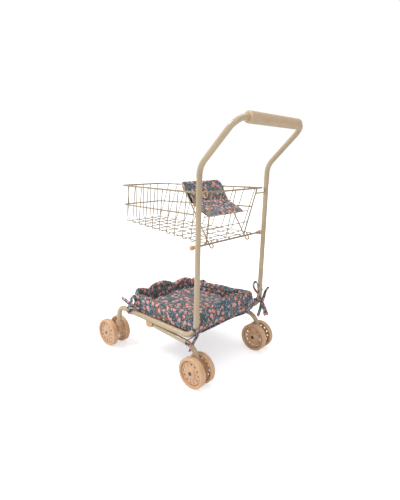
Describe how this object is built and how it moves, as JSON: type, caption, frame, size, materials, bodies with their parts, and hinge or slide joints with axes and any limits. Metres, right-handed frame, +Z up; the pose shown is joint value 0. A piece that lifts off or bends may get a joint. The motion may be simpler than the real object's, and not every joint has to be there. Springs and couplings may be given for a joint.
{
  "type": "toy shopping trolley",
  "caption": "Doll's shopping trolley: bent tube frame on twin wheels, tapered wire basket with a folding doll seat, and a padded fabric tray with scalloped front.",
  "frame": {"origin": "middle of the part's outline on the floor, under the wheels", "axes": "+Z up, -Y is the way it is pushed, +X is the left hand of whoever pushes it"},
  "size_m": [0.3211, 0.4544, 0.612],
  "materials": {
    "powder_coat": "satin sand powder coat",
    "grip_foam": "matt tan grip",
    "wheel_plastic": "moulded tan plastic",
    "caster_plastic": "moulded tan plastic",
    "bright_steel": "plated steel",
    "floral_fabric": "printed cotton, padded, teal ground with a floral pattern",
    "ribbon": "cotton tape in the tray's print"
  },
  "bodies": {
    "frame": {"handle_tube": "powder_coat", "handle_grip": "grip_foam", "left_base_tube": "powder_coat", "right_base_tube": "powder_coat", "post_screws": "bright_steel", "lower_leg_frame": "powder_coat", "rail_clamps": "caster_plastic", "rear_leg_caps": "caster_plastic", "rear_axles": "bright_steel", "rear_axle_caps": "bright_steel", "rear_washers": "caster_plastic", "stem_plugs": "caster_plastic", "caster_screws": "bright_steel", "basket_top_rim": "powder_coat", "basket_left_wires": "powder_coat", "basket_right_wires": "powder_coat", "basket_cross_wires": "powder_coat", "basket_mid_rim": "powder_coat", "basket_front_wires": "powder_coat", "basket_long_wires": "powder_coat", "back_panel_legs": "powder_coat", "back_panel_wires": "powder_coat", "basket_rod": "powder_coat", "rod_knobs": "caster_plastic", "rim_saddles": "powder_coat", "rim_peg": "powder_coat", "rim_ring": "powder_coat", "tray_floor": "floral_fabric", "tray_mattress": "floral_fabric", "tray_left_wall": "floral_fabric", "tray_right_wall": "floral_fabric", "tray_back_wall": "floral_fabric", "tray_front_wall": "floral_fabric", "rear_left_ribbon": "ribbon", "rear_right_ribbon": "ribbon", "front_left_ribbon": "ribbon", "front_right_ribbon": "ribbon"},
    "rear_left_outer_wheel": {"rear_left_outer_wheel": "wheel_plastic"},
    "rear_left_inner_wheel": {"rear_left_inner_wheel": "wheel_plastic"},
    "rear_right_outer_wheel": {"rear_right_outer_wheel": "wheel_plastic"},
    "rear_right_inner_wheel": {"rear_right_inner_wheel": "wheel_plastic"},
    "front_left_outer_wheel": {"front_left_outer_wheel": "wheel_plastic"},
    "front_left_inner_wheel": {"front_left_inner_wheel": "wheel_plastic"},
    "front_right_outer_wheel": {"front_right_outer_wheel": "wheel_plastic"},
    "front_right_inner_wheel": {"front_right_inner_wheel": "wheel_plastic"},
    "left_caster": {"left_caster_body": "caster_plastic", "left_caster_axle": "bright_steel", "left_caster_caps": "bright_steel"},
    "right_caster": {"right_caster_body": "caster_plastic", "right_caster_axle": "bright_steel", "right_caster_caps": "bright_steel"},
    "seat_back": {"seat_back_frame": "powder_coat", "seat_cross_bar": "powder_coat", "seat_back_cover": "floral_fabric"},
    "seat_pan": {"seat_pan_frame": "powder_coat", "seat_pan_cover": "floral_fabric", "seat_snaps": "bright_steel"}
  },
  "joints": [
    {"name": "left_caster_swivel", "type": "hinge", "parent": "frame", "child": "left_caster", "pos_m": [0.13, -0.16375, 0.05], "axis": [0, 0, 1], "continuous": true},
    {"name": "rear_left_outer_wheel_spin", "type": "hinge", "parent": "frame", "child": "rear_left_outer_wheel", "pos_m": [0.1437, 0.12425, 0.0375], "axis": [1, 0, 0], "continuous": true},
    {"name": "front_left_outer_wheel_spin", "type": "hinge", "parent": "left_caster", "child": "front_left_outer_wheel", "pos_m": [0.1505, -0.18975, 0.0375], "axis": [1, 0, 0], "continuous": true},
    {"name": "rear_left_inner_wheel_spin", "type": "hinge", "parent": "frame", "child": "rear_left_inner_wheel", "pos_m": [0.1103, 0.12425, 0.0375], "axis": [1, 0, 0], "continuous": true},
    {"name": "front_left_inner_wheel_spin", "type": "hinge", "parent": "left_caster", "child": "front_left_inner_wheel", "pos_m": [0.1095, -0.18975, 0.0375], "axis": [1, 0, 0], "continuous": true},
    {"name": "right_caster_swivel", "type": "hinge", "parent": "frame", "child": "right_caster", "pos_m": [-0.13, -0.16375, 0.05], "axis": [0, 0, 1], "continuous": true},
    {"name": "rear_right_outer_wheel_spin", "type": "hinge", "parent": "frame", "child": "rear_right_outer_wheel", "pos_m": [-0.1437, 0.12425, 0.0375], "axis": [1, 0, 0], "continuous": true},
    {"name": "front_right_outer_wheel_spin", "type": "hinge", "parent": "right_caster", "child": "front_right_outer_wheel", "pos_m": [-0.1505, -0.18975, 0.0375], "axis": [1, 0, 0], "continuous": true},
    {"name": "rear_right_inner_wheel_spin", "type": "hinge", "parent": "frame", "child": "rear_right_inner_wheel", "pos_m": [-0.1103, 0.12425, 0.0375], "axis": [1, 0, 0], "continuous": true},
    {"name": "front_right_inner_wheel_spin", "type": "hinge", "parent": "right_caster", "child": "front_right_inner_wheel", "pos_m": [-0.1095, -0.18975, 0.0375], "axis": [1, 0, 0], "continuous": true},
    {"name": "seat_back_fold", "type": "hinge", "parent": "frame", "child": "seat_back", "pos_m": [0, 0.10825, 0.33], "axis": [-1, 0, 0], "range_deg": [0, 24]},
    {"name": "seat_pan_fold", "type": "hinge", "parent": "seat_back", "child": "seat_pan", "pos_m": [0, 0.05106, 0.41277], "axis": [-1, 0, 0], "range_deg": [0, 31.2]}
  ],
  "couplings": [
    {"joint": "seat_pan_fold", "follows": "seat_back_fold", "ratio": 1.3}
  ]
}
